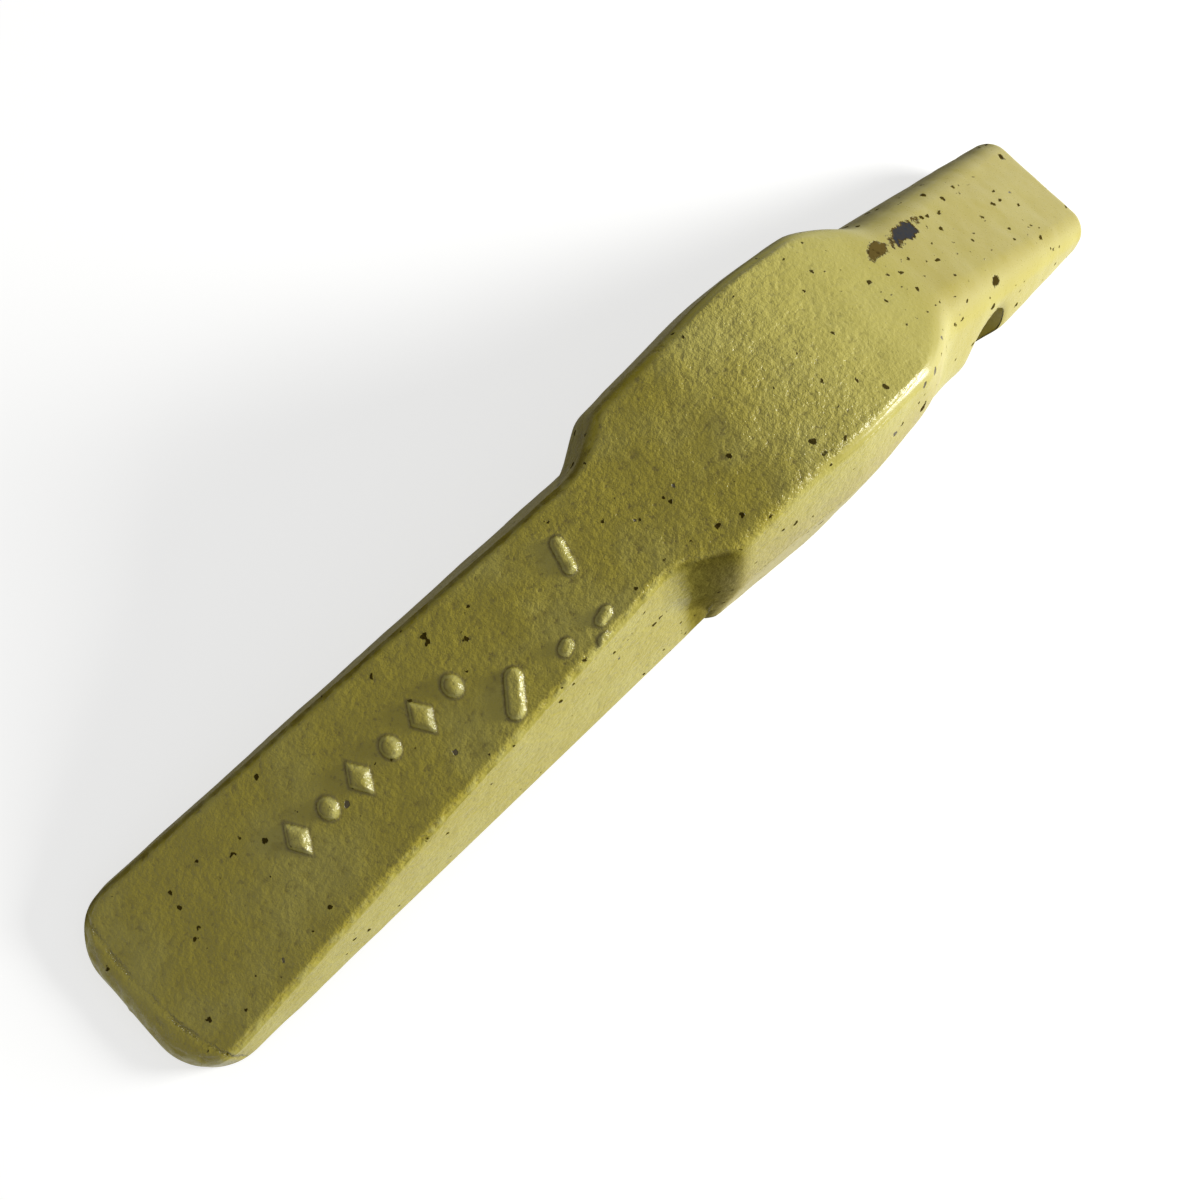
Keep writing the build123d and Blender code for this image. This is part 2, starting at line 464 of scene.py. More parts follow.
def stations(sizes):
    """Origins, tilts and template corners of the rings from tail to tip.

    A ring has six numbers in its own plane: half width and height of its bottom, widest and top
    corner. The template only aims the rays, so it lies near the skin and not on it. Ring planes
    stand upright along strap and body and turn into the nose's own plane.
    """
    strap, nose = sizes[0], sizes[2]
    pin, forward, up = nose_axes(nose)
    start = TAIL_ROOM - mm(strap.length)
    x = np.concatenate(
        [
            np.arange(start, -120, 0.85),
            np.arange(-120, -19, 0.55),
            np.arange(-19, -0.4, 0.8),
            [-0.02, 0.02],
            np.arange(0.7, mm(nose.pin_x) + NOSE_START, 1.0),
        ]
    )
    end = x[-1]
    middle = np.interp(x, [start, -60, -1, 0, 30, end], [3.7, 14.0, 19.0, 19.0, 15.0, 13.0])
    floor = np.interp(x, [start, -0.01, 0.01, 7, end], [0, 0, -13, -20, -20])
    roof = 48.0 - np.abs(x - 23) * np.where(x < 23, 0.219, 0.1)
    low_width = np.interp(x, [start, -9, 3, end], [27.6, 27.6, 28.5, 29.0])
    mid_width = np.interp(x, [start, -9, 3, 46, end], [26.0, 21.5, 29.4, 32.3, 29.5])
    mid_height = np.interp(x, [start, -9, 3, end], [4.0, 22.0, 26.0, 26.0])
    top_width = np.interp(x, [start, -9, 3, 46, end], [24.5, 17.0, 24.0, 26.0, 25.0])
    rings = np.stack(
        [low_width, floor - middle, mid_width, mid_height - middle, top_width, roof - middle], 1
    )

    along = np.arange(NOSE_START + 1.0, mm(nose.tip) - TIP_ROOM, 1.0)[:, None]
    share = (along - NOSE_START) / (mm(nose.tip) - NOSE_START)
    lift = (1 - share) * 4.0
    nose_middle = pin + along * forward + lift * up
    is_height = np.array([0, 1, 0, 1, 0, 1])
    at_root, to_tip = np.array([22.5, -18, 28, 0, 17.5, 28]), np.array([-1.5, 9, -5, 0, 3, -19])
    nose_rings = at_root + to_tip * share - is_height * lift
    body_rings = np.array([28.8, -20, 29.3, 26, 24.5, 43]) - is_height * nose_middle[:, 1:]
    into_nose = smooth_step(76, 100, nose_middle[:, :1])
    nose_rings = body_rings + (nose_rings - body_rings) * into_nose

    origins = np.concatenate([np.stack([x, middle], axis=1), nose_middle])
    rings = np.concatenate([rings, nose_rings])
    tilt = nose.slope * smooth_step(52.0, 100.0, origins[:, 0])
    return origins, tilt, rings


def ring_template(rings, columns):
    """Points (across, up) round each ring: straight runs between its corners, closed, in order."""
    top, side, low = round(columns * 0.42), round(columns * 0.095), round(columns * 0.20)
    low_w, low_z, mid_w, mid_z, top_w, top_z = [c[:, None] for c in rings.T]
    corners = [
        (-top_w, top_z), (top_w, top_z), (mid_w, mid_z), (low_w, low_z), (-low_w, low_z),
        (-mid_w, mid_z),
    ]
    counts = [top, side, side, low, side, side]
    across, upward = [], []
    for (ay, az), (by, bz), count in zip(corners, corners[1:] + corners[:1], counts):
        share = np.arange(count)[None, :] / count
        across.append(ay + (by - ay) * share)
        upward.append(az + (bz - az) * share)
    return np.concatenate(across, 1), np.concatenate(upward, 1)


def skin_points(sizes):
    """Grid of skin points: origin + t * direction, t found by halving the field's sign change.

    Rings along the spine look straight out at their template. Past both spine ends the origin
    stays and the template moves out along the axis, then shrinks to its middle, the pole.
    """
    origins, tilt, rings = stations(sizes)
    across, upward = ring_template(rings, sizes[3].columns)
    zero = np.zeros_like(across)
    sin, cos = np.sin(tilt)[:, None], np.cos(tilt)[:, None]
    origin = np.stack([origins[:, :1] + zero, zero, origins[:, 1:] + zero], axis=-1)
    aim = np.stack([sin * upward, across, cos * upward], axis=-1)

    def fan(ring, axis, reach, count):
        """Aims past a spine end: ten rings out along the axis, then count that shrink."""
        out = np.concatenate([np.linspace(0, reach, 11)[1:], np.full(count, reach)])
        shrink = np.concatenate([np.ones(10), np.linspace(1, 0, count + 1)[1:]])
        return aim[ring] * shrink[:, None, None] + out[:, None, None] * np.array(axis)

    nose = sizes[2]
    tail = fan(0, (-1.0, 0.0, 0.0), 10.0, 20)[::-1]
    tip = fan(-1, (math.cos(nose.slope), 0.0, -math.sin(nose.slope)), 10.0, 18)
    aim = np.concatenate([tail, aim, tip])
    origin = np.concatenate(
        [np.repeat(origin[:1], len(tail), 0), origin, np.repeat(origin[-1:], len(tip), 0)]
    )
    direction = aim / np.linalg.norm(aim, axis=-1, keepdims=True)
    near = np.zeros(direction.shape[:2])
    far = np.linalg.norm(aim, axis=-1) * 1.5 + 10.0
    for _ in range(HALVINGS):
        middle = (near + far) / 2
        point = origin + direction * middle[..., None]
        outside = casting_field(sizes, point[..., 0], point[..., 1], point[..., 2]) > 0
        far = np.where(outside, middle, far)
        near = np.where(outside, near, middle)
    return soften_root(origin + direction * ((near + far) / 2)[..., None])


def soften_root(points):
    """Relaxes the rings between body and nose, as rammed sand rounds a root.

    Each pass moves a point towards the mean of its neighbours along the casting, most of the way
    from x = 80 to 98 mm.
    """
    x = points[..., :1]
    share = 0.7 * smooth_step(66, 80, x) * smooth_step(112, 98, x)
    passes = 12
    for _ in range(passes):
        mean = (np.roll(points, 1, 0) + np.roll(points, -1, 0)) / 2
        points = points + (mean - points) * share
    return points


def grid_normals(points):
    """Outward normals: the cross product of the steps along both grid directions."""
    round_step = np.roll(points, -1, axis=1) - np.roll(points, 1, axis=1)
    long_step = np.gradient(points, axis=0)
    normal = np.cross(long_step, round_step)
    size = np.linalg.norm(normal, axis=-1, keepdims=True)
    return normal / np.maximum(size, 1e-9)


def cast_skin(sizes, points, normal):
    """Point values of the finish, and how far the skin lies off the plain form, in mm.

    The lift is a sum of pips, long and short waves, burrs along the strap's top edges and the
    rolled dip round the pocket; waves only take metal away, so the skin stays in the solid's box.
    """
    strap, body, nose, cast, pins = sizes
    x, y, z = points[..., 0], points[..., 1], points[..., 2]
    nx, ny, nz = normal[..., 0], normal[..., 1], normal[..., 2]
    pin, _, up = nose_axes(nose)
    flat = points.reshape(-1, 3)
    lumps = waves(flat, 15.0, 40, 5).reshape(x.shape)
    ripples = waves(flat, 5.2, 60, 9).reshape(x.shape)
    burrs = waves(flat, 3.4, 60, 21).reshape(x.shape)

    # Places, found from where the plain form lies and looks
    top = smooth_step(0.55, 0.8, nz)
    under = smooth_step(-0.5, -0.85, nz)
    side = smooth_step(-0.55, -0.85, ny)
    strap_edge = smooth_step(0.30, 0.6, nz) * smooth_step(0.98, 0.85, nz) * smooth_step(0, -8, x)
    body_edge = smooth_step(0.35, 0.6, nz) * smooth_step(0.97, 0.85, nz) * smooth_step(20, 40, x)
    far_pin = np.hypot(x - pin[0], z - pin[1]) - mm(pins.pocket) / 2
    rim = np.exp(-np.clip(far_pin, 0, FAR) / mm(pins.rim)) * smooth_step(-8, -14, y)
    rim = rim * (x > pin[0] - 25)
    rough = np.interp(
        x, [-165, -150, -110, -55, -25, 42, 66, 84], [0.45, 0.60, 0.68, 0.72, 0.82, 0.80, 0.40, 0.26]
    )
    rough = rough * (0.55 + 0.45 * smooth_step(0.35, 0.8, nz))

    # Lift off the plain form
    raised, outline = relief(sizes, x, y)
    raised = raised * top * smooth_step(6.0, -2.0, x)
    lift = mm(cast.lump) * (lumps - 1.0) + mm(cast.ripple) * (0.5 + rough) * (ripples - 1.0)
    lift = lift * (0.4 + 0.6 * rough) * (1 - under)
    lift = lift + mm(cast.burr) * strap_edge * (burrs - 1.0) + raised - mm(pins.rim_dip) * rim

    # Lit and shaded sides of the pips, for painted highlight and painted shade
    foot = np.clip(raised / mm(cast.pip_height), 0, 1)
    slope = grid_normals(points + normal * raised[..., None]) - normal
    turned = 1.5 * (slope[..., 0] - slope[..., 1]) * (foot > 0.01)
    pip_highlight, pip_shade = np.clip(turned, 0, 1), np.clip(-turned, 0, 1)

    # Painted shade on the flanks turned from the lamp and on the flare's face, and distances from the
    # mould's lines
    flare = 0.85 * smooth_step(0.80, 0.55, nz) * smooth_step(-11, -4, x) * smooth_step(10, 2, x)
    flare = flare * smooth_step(-0.3, -0.6, ny - np.abs(nx))
    shade_onset = np.interp(x, [-20, 30, 60, 90], [0.30, 0.45, 0.55, 0.36])
    turned_from_lamp = smooth_step(shade_onset, shade_onset + 0.45, ny)
    tail = mm(cast.tail_line) - mm(strap.length) + 0.0055 * (y - 6.0) ** 2
    fold_height = 9.0 + 1.6 * np.sin(x / 7.0)
    on_side = side * smooth_step(0, 8, x) * smooth_step(44, 30, x)
    over_nose_line = (x - pin[0]) * up[0] + (z - pin[1]) * up[1]
    seam = np.where(x < 66, z - mm(body.parting), np.where(x > 92, over_nose_line, FAR))
    coats = {
        "grain": rough * (1 - 0.85 * body_edge),
        "speckle": np.interp(x, [-165, -60, -20, 40, 66, 90], [0.25, 0.40, 0.6, 0.5, 1.2, 1.5]),
        # thin enamel on pips and burrs, with painted highlight on the pips' lit sides and painted
        # sheen on the lit -Y flank, the body's front and the nose's slopes
        "film": np.clip(
            0.3 * foot + pip_highlight + 0.8 * strap_edge * (burrs > 0.2) + 0.55 * side * (x < 90)
            + np.interp(x, [15, 50, 80, 96], [0, 1, 1.0, 0.1])
            + 0.35 * smooth_step(0.85, 0.65, nz) * smooth_step(80, 92, x),
            0, 1,
        ),
        # painted shade on the pips' sides turned from the lamp, and darker round the pocket's rim
        "grime": np.clip(pip_shade + 0.5 * rim, 0, 1),
        # painted shade on the flank turned from the lamp and on the flare's face
        "dry": np.clip(np.maximum(turned_from_lamp * 0.9, flare), 0, 1),
        "thick": np.interp(x, [-168, -120, -60, 56, 78], [0.35, 0.25, 0.10, 0, 0.62])
        * smooth_step(0.45, 0.8, nz),
        # the pips' lit sides: a crisper, stronger sheen there, a painted highlight
        "slick": pip_highlight,
        "shaded": smooth_step(0.05, 0.45, ny),
        # the lit -Y flank, where the real sheen is lowered under the painted sheen
        "beside": side,
        "mark": np.where((top > 0.5) & (x < 0), outline, FAR),
        "seam": np.where((np.abs(ny) > 0.6) & (x > 8), np.abs(seam), FAR),
        "stained": side * smooth_step(-4, 6, x) * smooth_step(90, 74, x) * smooth_step(44, 26, z),
        "fold": np.where(on_side > 0.5, np.abs(z - fold_height), FAR),
        "line": (x - tail) * (1 + 20 * under),
    }
    return coats, lift


def to_frame(points, turn, shift):
    """Turns the drawing about Y and moves it into the row frame, in metres."""
    sin, cos = math.sin(turn), math.cos(turn)
    x = points[..., 0] * cos - points[..., 2] * sin + shift[0]
    z = points[..., 0] * sin + points[..., 2] * cos + shift[1]
    return np.stack([x, points[..., 1], z], axis=-1) / 1000


# Edges sharper than this stay creases
CREASE = math.radians(42)


def add_mesh(name, points, faces, material):
    """Object of these points and faces, smooth except across creases."""
    mesh = bpy.data.meshes.new(name)
    mesh.from_pydata(points.reshape(-1, 3).tolist(), [], [tuple(f) for f in faces])
    mesh.polygons.foreach_set("use_smooth", np.ones(len(mesh.polygons), bool))
    mesh.set_sharp_from_angle(angle=CREASE)
    mesh.materials.append(material)
    mesh.update()
    piece = bpy.data.objects.new(name, mesh)
    bpy.context.scene.collection.objects.link(piece)
    return piece


def closed_grid_faces(rows, columns):
    """Quads of a grid that closes round its columns."""
    row = np.arange(rows - 1)[:, None] * columns
    column = np.arange(columns)[None, :]
    right = (column + 1) % columns
    return np.stack(
        [row + column, row + columns + column, row + columns + right, row + right], axis=-1
    ).reshape(-1, 4)


def pin_cutter(sizes):
    """Stepped round cutter along Y: a profile of (radius, y) carried round the pin's axis.

    It is the pocket's radius from outside the -Y flank to the pocket's floor and the bore's radius
    from there to outside the other flank, with small bevels at both steps.
    """
    nose, pins = sizes[2], sizes[4]
    share = mm(nose.root) / (mm(nose.root) + mm(nose.tip))
    width = mm(nose.root_width) + (mm(nose.tip_width) - mm(nose.root_width)) * share
    ground = mm(pins.depth) - width / 2
    bore, pocket = mm(pins.bore) / 2, mm(pins.pocket) / 2
    profile = np.array(
        [
            (0.0, -width), (pocket, -width), (pocket, ground - 1.2), (pocket - 0.35, ground - 0.35),
            (pocket - 1.2, ground), (bore + 0.8, ground), (bore, ground + 0.8), (bore, width),
            (0.0, width),
        ]
    )
    turn = np.linspace(0, 2 * math.pi, 96, endpoint=False)
    radius, y = profile[:, :1], profile[:, 1:]
    x = mm(nose.pin_x) + radius * np.cos(turn)
    z = mm(nose.pin_z) + radius * np.sin(turn)
    return np.stack([x, y + 0 * x, z], axis=-1)


def set_attribute(mesh, name, values):
    """Stores one number per point."""
    mesh.attributes.new(name, "FLOAT", "POINT").data.foreach_set("value", values.ravel())


def cut(piece, cutter):
    """Takes cutter's volume out of piece for good and removes cutter."""
    modifier = piece.modifiers.new("cut", "BOOLEAN")
    modifier.operation = "DIFFERENCE"
    modifier.solver = "MANIFOLD"
    modifier.object = cutter
    bpy.context.view_layer.update()
    graph = bpy.context.evaluated_depsgraph_get()
    mesh = bpy.data.meshes.new_from_object(piece.evaluated_get(graph))
    piece.modifiers.remove(modifier)
    old = piece.data
    piece.data = mesh
    mesh.name = piece.name
    bpy.data.meshes.remove(old)
    bpy.data.objects.remove(cutter)


# Finish


TIMES = {"operation": "MULTIPLY"}
PLUS = {"operation": "ADD"}
MINUS = {"operation": "SUBTRACT"}
FUSED = {"operation": "MULTIPLY_ADD"}
LARGER = {"operation": "MAXIMUM"}
SMOOTH = {"interpolation_type": "SMOOTHSTEP"}
BLEND = {"data_type": "RGBA"}

# Patterns of the paint: period in mm, detail, roughness and twist
NOISES = {
    "sand": (1.7, 3.0, 0.62, 0.0),
    "pebble": (4.0, 2.0, 0.5, 0.0),
    "fine": (0.7, 2.0, 0.6, 0.0),
    "ragged": (0.9, 2.0, 0.6, 0.0),
    "patch": (23.0, 3.0, 0.55, 0.0),
    "shade_mottle": (4.5, 4.0, 0.65, 0.0),
    "streak": (2.6, 4.0, 0.65, 0.6),
    "cluster": (17.0, 2.0, 0.5, 0.0),
    "torn": (3.6, 5.0, 0.7, 0.4),
    "scale": (1.6, 3.0, 0.7, 0.0),
    "bend": (11.0, 2.0, 0.5, 0.0),
    "worn": (8.0, 2.0, 0.5, 0.0),
}

# Knocks on top of the nose in mm: place, and half length, width and height
KNOCKS = (((93.0, 8.2, 57.0), (9.2, 2.7, 9.0)), ((77.6, 7.8, 64.3), (5.4, 2.6, 9.0)))


def add_node(tree, kind, settings=(), output=0):
    """Adds a node and returns one output: a setting is a property, an input's value or a link."""
    made = tree.nodes.new("ShaderNode" + kind)
    for key, value in dict(settings).items():
        if isinstance(value, bpy.types.NodeSocket):
            tree.links.new(value, made.inputs[key])
        elif isinstance(key, str) and hasattr(made, key):
            setattr(made, key, value)
        else:
            made.inputs[key].default_value = value
    return made.outputs[output] if made.outputs else None


def new_material(name):
    """Empty material, and the function that adds nodes to it."""
    material = bpy.data.materials.new(name)
    material.use_nodes = True
    material.node_tree.nodes.clear()
    return material, partial(add_node, material.node_tree)


def drawn_along_nose(node, place):
    """Place with the nose drawn together along its slope, so that spots there come out long.

    Ahead of the root point the distance along the slope is shortened to a share of 0.6.
    """
    slope = Vector((0.9, 0.0, -0.436))
    root = Vector((0.080, 0.0, 0.0635))
    along = node("VectorMath", {"operation": "DOT_PRODUCT", 0: place, 1: slope}, "Value")
    ahead = node("Math", {**MINUS, 0: along, 1: slope.dot(root)})
    ahead = node("Math", {**LARGER, 0: ahead, 1: 0.0})
    return node("VectorMath", {**FUSED, 0: ahead, 1: slope * -0.4, 2: place})


def spots(node, place, period, reach, density, edge):
    """Share of ragged spots: one per cell of this period in mm, up to reach cells wide.

    A cell has a spot when its random number is above 1 - density, and the further above, the wider
    the spot. The distance to the cell's centre, made ragged by edge, is compared with that width.
    """
    swirl = node("TexNoise", {"Vector": place, "Scale": 1600 / period, "Detail": 3.0}, "Color")
    stir = [reach * period * 0.0026] * 3
    bent = node("VectorMath", {**FUSED, 0: swirl, 1: stir, 2: place})
    far = node("TexVoronoi", {"Vector": bent, "Scale": 1000 / period}, "Distance")
    luck = node("TexWhiteNoise", {"Vector": far.node.outputs["Position"]}, "Value")
    rare = node("Math", {**MINUS, 0: 1.0, 1: density})
    share = node("MapRange", {0: luck, 1: rare, 2: 1.0})
    width = node("Math", {"operation": "POWER", 0: share, 1: 1.8})
    far = node("Math", {**FUSED, 0: edge, 1: reach * 0.8, 2: far})
    past = node("Math", {**FUSED, 0: width, 1: -reach, 2: far})
    return node("MapRange", {**SMOOTH, 0: past, 1: 0.08 * reach, 2: -0.16 * reach})


def line_share(node, distance, wide, narrow):
    """Share of a line on both sides of distance 0: 0 at wide, 1 from narrow on."""
    apart = node("Math", {"operation": "ABSOLUTE", 0: distance})
    return node("MapRange", {**SMOOTH, 0: apart, 1: wide, 2: narrow})


def enamel_over_cast_steel(colours, coats):
    """Alkyd shop enamel, semi-gloss, sprayed over a shot-blasted sand-cast steel skin.

    The sand skin shows through the film as grains of 1 to 4 mm with crisp glints, the film pools
    darker in their hollows, and black overspray specks, pits, chips and thin rust sit in it. Painted
    shade darkens the pits' bottoms, the pips' lee sides and the flanks turned from the lamp, and
    painted highlight and sheen lighten the lit sides. The coats are point values on the mesh that say
    where each of these belongs.
    """
    material, node = new_material("semi_gloss_enamel_on_cast_steel")
    place = node("TexCoord", output="Object")
    coat = {name: node("Attribute", {"attribute_name": name}, "Fac") for name in coats}
    noise = {}
    for name, (period, detail, rough, twist) in NOISES.items():
        look = {"Scale": 1000 / period, "Detail": detail, "Roughness": rough, "Distortion": twist}
        noise[name] = node("TexNoise", {"Vector": place, **look})
    edge = node("Math", {**MINUS, 0: noise["ragged"], 1: 0.5})

    # Film: even enamel, thinner and lighter in drifts, darker where it pools between the grains, with
    # painted shade in the pits' bottoms
    drift = node("MapRange", {**SMOOTH, 0: noise["patch"], 1: 0.40, 2: 0.68, 4: 0.4})
    ground = node("Math", {**PLUS, 0: noise["sand"], 1: noise["pebble"]})
    hollow = node("MapRange", {**SMOOTH, 0: ground, 1: 1.0, 2: 0.72, 4: 0.75})
    hollow = node("Math", {**TIMES, 0: hollow, 1: coat["grain"]})
    # pits' bottoms between the sand grains darkened: painted shade
    crevice_shade = node("MapRange", {**SMOOTH, 0: noise["sand"], 1: 0.40, 2: 0.31})
    crevice_shade = node("Math", {**TIMES, 0: crevice_shade, 1: coat["grain"]})

    # Painted shade, mottled, on the flanks turned from the lamp and on the flare's face
    shade_mottle = node("MapRange", {**SMOOTH, 0: noise["shade_mottle"], 1: 0.25, 2: 0.75, 3: 0.60, 4: 0.90})
    shade_mottle = node("Math", {**TIMES, 0: shade_mottle, 1: coat["dry"]})

    # Stained side where the film is lean, with the fold that cold metal left in the mould
    lean = node("MapRange", {**SMOOTH, 0: noise["streak"], 1: 0.20, 2: 0.70, 3: 0.3, 4: 0.9})
    lean = node("Math", {**TIMES, 0: lean, 1: coat["stained"]})
    fold = node("Math", {**FUSED, 0: edge, 1: 1.6, 2: coat["fold"]})
    fold = line_share(node, fold, 0.55, 0.2)

    # Spots: overspray and burnt sand, brown pits, small chips down to rust
    crowd = node("MapRange", {**SMOOTH, 0: noise["cluster"], 1: 0.38, 2: 0.62, 3: 0.25})
    crowd = node("Math", {**TIMES, 0: crowd, 1: coat["speckle"]})
    drawn = drawn_along_nose(node, place)
    spot = {}
    for name, period, reach, density, crowding in (
        ("speck", 2.3, 0.345, 0.55, crowd),
        ("pit", 6.0, 0.17, 0.40, crowd),
        ("chip", 16.0, 0.11, 0.50, coat["speckle"]),
    ):
        density = node("Math", {**TIMES, 0: crowding, 1: density})
        spot[name] = spots(node, drawn, period, reach, density, edge)

    # Two knocks side by side on top of the nose: bare steel in one, rust in the other
    torn = node("Math", {**MINUS, 0: noise["torn"], 1: 0.5})
    knocks = []
    for centre, reach in KNOCKS:
        box = {
            "vector_type": "TEXTURE", "Location": [part / 1000 for part in centre],
            "Rotation": (0.0, 0.45, 0.08), "Scale": [part / 1000 for part in reach],
        }
        inside = node("Mapping", {**box, "Vector": place})
        far = node("VectorMath", {"operation": "LENGTH", 0: inside}, "Value")
        knocks.append(node("Math", {**FUSED, 0: torn, 1: 2.3, 2: far}))
    dark_rim = node("MapRange", {**SMOOTH, 0: knocks[0], 1: 1.08, 2: 0.92})
    brown = node("MapRange", {**SMOOTH, 0: knocks[1], 1: 0.95, 2: 0.75})
    rim = node("Math", {**LARGER, 0: dark_rim, 1: brown})
    bare = node("MapRange", {**SMOOTH, 0: knocks[0], 1: 0.88, 2: 0.74})
    scale = node("MapRange", {**SMOOTH, 0: noise["scale"], 1: 0.36, 2: 0.6, 3: 0.75})
    steel = node("Math", {**TIMES, 0: bare, 1: scale})
    crust = node("MapRange", {**SMOOTH, 0: noise["scale"], 1: 0.48, 2: 0.36})
    crust = node("Math", {**TIMES, 0: crust, 1: rim})

    # Line across the tail, the pips' outlines and the parting seam
    bend = node("Math", {**MINUS, 0: noise["bend"], 1: 0.5})
    line = node("Math", {**FUSED, 0: bend, 1: 2.6, 2: coat["line"]})
    line = node("Math", {**FUSED, 0: edge, 1: 1.4, 2: line})
    clear = node("MapRange", {**SMOOTH, 0: noise["worn"], 1: 0.40, 2: 0.62, 3: 0.15})
    groove = node("Math", {**TIMES, 0: line_share(node, line, 0.7, 0.0), 1: clear})
    ledge = node("MapRange", {**SMOOTH, 0: line, 1: 0.2, 2: -1.6})
    fading = node("MapRange", {**SMOOTH, 0: line, 1: -5.0, 2: -2.0})
    ledge = node("Math", {**TIMES, 0: ledge, 1: fading})
    mark = node("Math", {**FUSED, 0: edge, 1: 0.5, 2: coat["mark"]})
    plateau = node("MapRange", {**SMOOTH, 0: mark, 1: 0.18, 2: -0.30})
    outside = node("MapRange", {**SMOOTH, 0: mark, 1: 0.9, 2: 0.25})
    # darker ring just round the pips' foot
    foot_dark = node("MapRange", {**SMOOTH, 0: mark, 1: -0.25, 2: 0.15})
    foot_dark = node("Math", {**TIMES, 0: foot_dark, 1: outside})
    # lighter ring of thin enamel along the pips' outline, partly a painted highlight
    worn = line_share(node, node("Math", {**PLUS, 0: mark, 1: 0.5}), 0.5, 0.1)
    seam = node("Math", {**FUSED, 0: edge, 1: 1.2, 2: coat["seam"]})
    seam = line_share(node, seam, 0.9, 0.1)
    seam = node("Math", {**TIMES, 0: seam, 1: noise["patch"]})

    # Colour, layer on layer: share, strength and colour
    shade = (*colours.enamel, 1.0)
    for share, strength, paint in (
        (drift, 1.0, colours.thin),
        (hollow, 1.0, colours.pooled),
        (coat["thick"], 1.0, colours.pooled),
        # thin enamel, with painted highlight and sheen on lit sides
        (coat["film"], 0.55, colours.thin),
        (crevice_shade, 0.55, colours.crevice_shade),
        # painted shade on the pips' lee sides, and darker round and inside the pocket
        (coat["grime"], 0.80, colours.crevice_shade),
        # painted shade on the flanks turned from the lamp and the flare's face, mottled
        (shade_mottle, 1.0, colours.dry),
        (lean, 1.0, colours.lean),
        (fold, 0.8, colours.speck),
        (spot["pit"], 0.90, colours.speck),
        (spot["speck"], 0.92, colours.speck),
        (spot["chip"], 0.95, colours.speck),
        (rim, 0.85, colours.rust),
        (crust, 0.6, colours.speck),
        (steel, 1.0, colours.steel),
        (groove, 0.8, colours.pooled),
        # darker just round the pips' foot
        (foot_dark, 0.55, colours.crevice_shade),
        # thin enamel along the pips' outline, partly a painted highlight
        (worn, 0.5, colours.thin),
    ):
        share = node("Math", {**TIMES, 0: share, 1: strength})
        shade = node("Mix", {**BLEND, 0: share, 6: shade, 7: (*paint, 1.0)}, 2)

    # Sheen: duller on spots, stains and the painted flank shade, crisper and stronger on the pips' lit
    # sides
    marks = node("Math", {**LARGER, 0: spot["speck"], 1: spot["chip"]})
    marks = node("Math", {**LARGER, 0: marks, 1: rim})
    gloss = node("MapRange", {**SMOOTH, 0: noise["fine"], 1: 0.3, 2: 0.7, 3: 0.35, 4: 0.27})
    for share, change in (
        (marks, 0.28), (coat["stained"], 0.15), (coat["grime"], 0.15), (coat["dry"], 0.30),
        (coat["slick"], -0.10),
    ):
        gloss = node("Math", {**FUSED, 0: share, 1: change, 2: gloss})
    dull = node("Math", {**LARGER, 0: coat["dry"], 1: coat["shaded"]})
    dull = node("Math", {**TIMES, 0: dull, 1: 0.85})
    dull = node("Math", {**LARGER, 0: dull, 1: marks})
    sheen = node("Math", {**FUSED, 0: dull, 1: -0.40, 2: 0.40})
    sheen = node("Math", {**FUSED, 0: coat["beside"], 1: -0.18, 2: sheen})
    sheen = node("Math", {**FUSED, 0: coat["slick"], 1: 0.25, 2: sheen})

    # Relief in mm, one form after the other
    rough = node("Math", {**FUSED, 0: noise["sand"], 1: 1.7, 2: noise["pebble"]})
    rough = node("Math", {**FUSED, 0: noise["fine"], 1: 0.32, 2: rough})
    rise = node("Math", {**TIMES, 0: rough, 1: coat["grain"]})
    rise = node("Math", {**TIMES, 0: rise, 1: 0.5})
    for form, height in (
        (spot["speck"], 0.10), (spot["pit"], -0.20), (spot["chip"], -0.25), (rim, -0.22),
        (bare, -0.10), (fold, -0.50), (ledge, 0.34), (groove, -0.42), (plateau, 0.18), (seam, 0.50),
    ):
        rise = node("Math", {**FUSED, 0: form, 1: height, 2: rise})
    bump = node("Bump", {"Strength": 1.0, "Distance": 0.001, "Height": rise}, "Normal")

    look = {"Base Color": shade, "Roughness": gloss, "Specular IOR Level": sheen, "Normal": bump}
    surface = node("BsdfPrincipled", {"IOR": 1.49, **look})
    node("OutputMaterial", {"Surface": surface})
    return material


def background_rays(node):
    """1 for the rays that see the background itself or mirror it: camera, glossy, transmission."""
    seen = node("LightPath", output="Is Camera Ray")
    rays = seen.node.outputs
    for name in ("Is Glossy Ray", "Is Transmission Ray"):
        seen = node("Math", {**LARGER, 0: seen, 1: rays[name]})
    return seen


def matt_board(name, values):
    """Matt painted board that a camera sees brighter, most of all far off: it ends in white."""
    material, node = new_material(name)
    board = node("BsdfDiffuse", {"Color": (*values, 1.0)})
    place = node("TexCoord", output="Object")
    away = node("VectorMath", {"operation": "LENGTH", 0: place}, "Value")
    lift = node("MapRange", {**SMOOTH, 0: away, 1: 0.32, 2: 1.1, 3: 0.64, 4: 1.0})
    lift = node("Math", {**TIMES, 0: lift, 1: background_rays(node)})
    glow = node("Emission", {"Strength": lift})
    node("OutputMaterial", {"Surface": node("AddShader", {0: board, 1: glow})})
    return material


# Operators


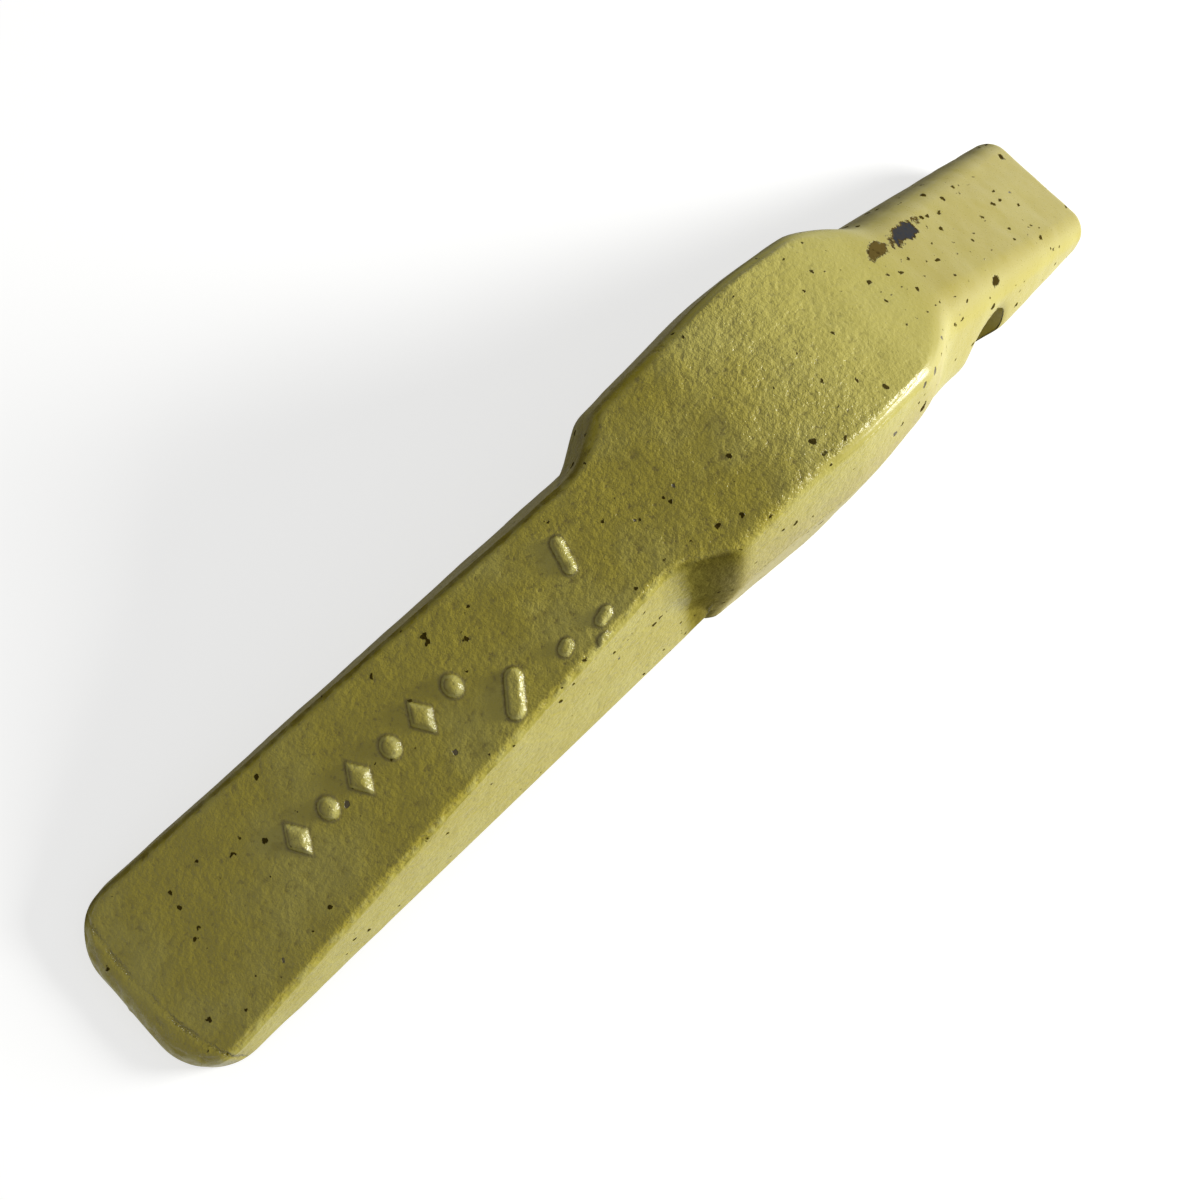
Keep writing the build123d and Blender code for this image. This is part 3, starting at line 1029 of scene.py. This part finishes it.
class ADAPTER_OT_casting(Operator):
    """Builds the painted casting over the CAD solid"""

    bl_idname = "adapter.casting"
    bl_label = "Casting"

    def execute(self, context):
        scene = context.scene
        sizes = (
            scene.adapter_strap, scene.adapter_body, scene.adapter_nose, scene.adapter_cast,
            scene.adapter_pin,
        )
        rest = scene.adapter_rest
        shift = (mm(rest.shift_x), mm(rest.shift_z))
        points = skin_points(sizes)
        normal = grid_normals(points)
        coats, lift = cast_skin(sizes, points, normal)
        skin = to_frame(points + normal * lift[..., None], rest.turn, shift)
        rows, columns = skin.shape[:2]
        paint = enamel_over_cast_steel(scene.adapter_paint, coats)
        piece = add_mesh("adapter_skin", skin, closed_grid_faces(rows, columns), paint)
        for name, values in coats.items():
            set_attribute(piece.data, name, values)

        profile = to_frame(pin_cutter(sizes), rest.turn, shift)
        rows, columns = profile.shape[:2]
        cutter = add_mesh("cutter", profile, closed_grid_faces(rows, columns), paint)
        # Inside the pocket: half grain and specks, and darker by a share of the pip shade and pocket
        # coat
        inside = {"grain": 0.5, "speckle": 0.5, "grime": 0.4}
        inside.update(dict.fromkeys(("line", "fold", "seam", "mark"), FAR))
        for name in coats:
            set_attribute(cutter.data, name, np.full(rows * columns, inside.get(name, 0.0)))
        for item in (piece, cutter):
            close_poles(item.data)
        cut(piece, cutter)
        piece.data.set_sharp_from_angle(angle=CREASE)
        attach(piece, "root")
        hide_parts("adapter_casting")
        return {"FINISHED"}


def close_poles(mesh):
    """Merges the points that share a place, which closes poles, and turns all faces outward."""
    work = bmesh.new()
    work.from_mesh(mesh)
    bmesh.ops.remove_doubles(work, verts=work.verts, dist=1e-6)
    bmesh.ops.recalc_face_normals(work, faces=work.faces)
    work.to_mesh(mesh)
    work.free()
    mesh.update()


class ADAPTER_OT_stage(Operator):
    """Adds the floor, the lamps, the sky and the camera"""

    bl_idname = "adapter.stage"
    bl_label = "Stage"

    def execute(self, context):
        scene = context.scene
        settings = scene.adapter_stage
        half, low = 4.0, -0.0002
        corners = np.array(
            [(-half, -half, low), (half, -half, low), (half, half, low), (-half, half, low)]
        )
        board = matt_board("matt_board", settings.floor)
        floor = add_mesh("floor", corners, np.array([[0, 1, 2, 3]]), board)

        world = bpy.data.worlds.new("studio")
        scene.world = world
        world.use_nodes = True
        world.node_tree.nodes.clear()
        node = partial(add_node, world.node_tree)
        strength = node("MapRange", {0: background_rays(node), 3: settings.sky, 4: 1.0})
        sky = node("Background", {"Color": (1, 1, 1, 1), "Strength": strength})
        node("OutputWorld", {"Surface": sky})

        add_lamp("key", settings.key_at, settings.key_size, settings.key_power)

        data = bpy.data.cameras.new("camera")
        data.sensor_width = 36
        data.lens = settings.lens
        data.clip_start = 0.01
        camera = bpy.data.objects.new("camera", data)
        camera.location = settings.camera_at
        camera.rotation_euler = settings.camera_turn
        scene.collection.objects.link(camera)
        scene.camera = camera
        scene.view_settings.view_transform = "Standard"
        return {"FINISHED"}


def add_lamp(name, place, size, power):
    """Square area lamp that looks at the part."""
    data = bpy.data.lights.new(name, "AREA")
    data.shape = "SQUARE"
    data.size = size
    data.energy = power
    lamp = bpy.data.objects.new(name, data)
    lamp.location = place
    lamp.rotation_euler = (-Vector(place)).to_track_quat("-Z", "Y").to_euler()
    bpy.context.scene.collection.objects.link(lamp)


class ADAPTER_PT_panel(Panel):
    """Sizes, colours and steps of the adapter"""

    bl_label = "Bucket tooth adapter"
    bl_idname = "ADAPTER_PT_panel"
    bl_space_type = "VIEW_3D"
    bl_region_type = "UI"
    bl_category = "Adapter"

    def draw(self, context):
        for title, name, kind in GROUPS:
            box = self.layout.box()
            box.label(text=title)
            for key in kind.__annotations__:
                box.prop(getattr(context.scene, name), key)
        for operator in OPERATORS:
            self.layout.operator(operator.bl_idname)


GROUPS = (
    ("Strap", "adapter_strap", StrapSizes),
    ("Body", "adapter_body", BodySizes),
    ("Nose", "adapter_nose", NoseSizes),
    ("Pin", "adapter_pin", PinSizes),
    ("Cast skin", "adapter_cast", CastSizes),
    ("Paint", "adapter_paint", PaintColours),
    ("Rest", "adapter_rest", RestPlace),
    ("Stage", "adapter_stage", StageSettings),
)
OPERATORS = (ADAPTER_OT_casting, ADAPTER_OT_stage)


def register():
    """Registers the groups, the operators and the panel."""
    for _, name, kind in GROUPS:
        bpy.utils.register_class(kind)
        setattr(bpy.types.Scene, name, PointerProperty(type=kind))
    for kind in (*OPERATORS, ADAPTER_PT_panel):
        bpy.utils.register_class(kind)


def unregister():
    """Removes what register added."""
    for kind in (ADAPTER_PT_panel, *reversed(OPERATORS)):
        bpy.utils.unregister_class(kind)
    for _, name, kind in reversed(GROUPS):
        delattr(bpy.types.Scene, name)
        bpy.utils.unregister_class(kind)


def main():
    register()
    bpy.ops.adapter.casting()
    bpy.ops.adapter.stage()


if __name__ == "__main__":
    main()
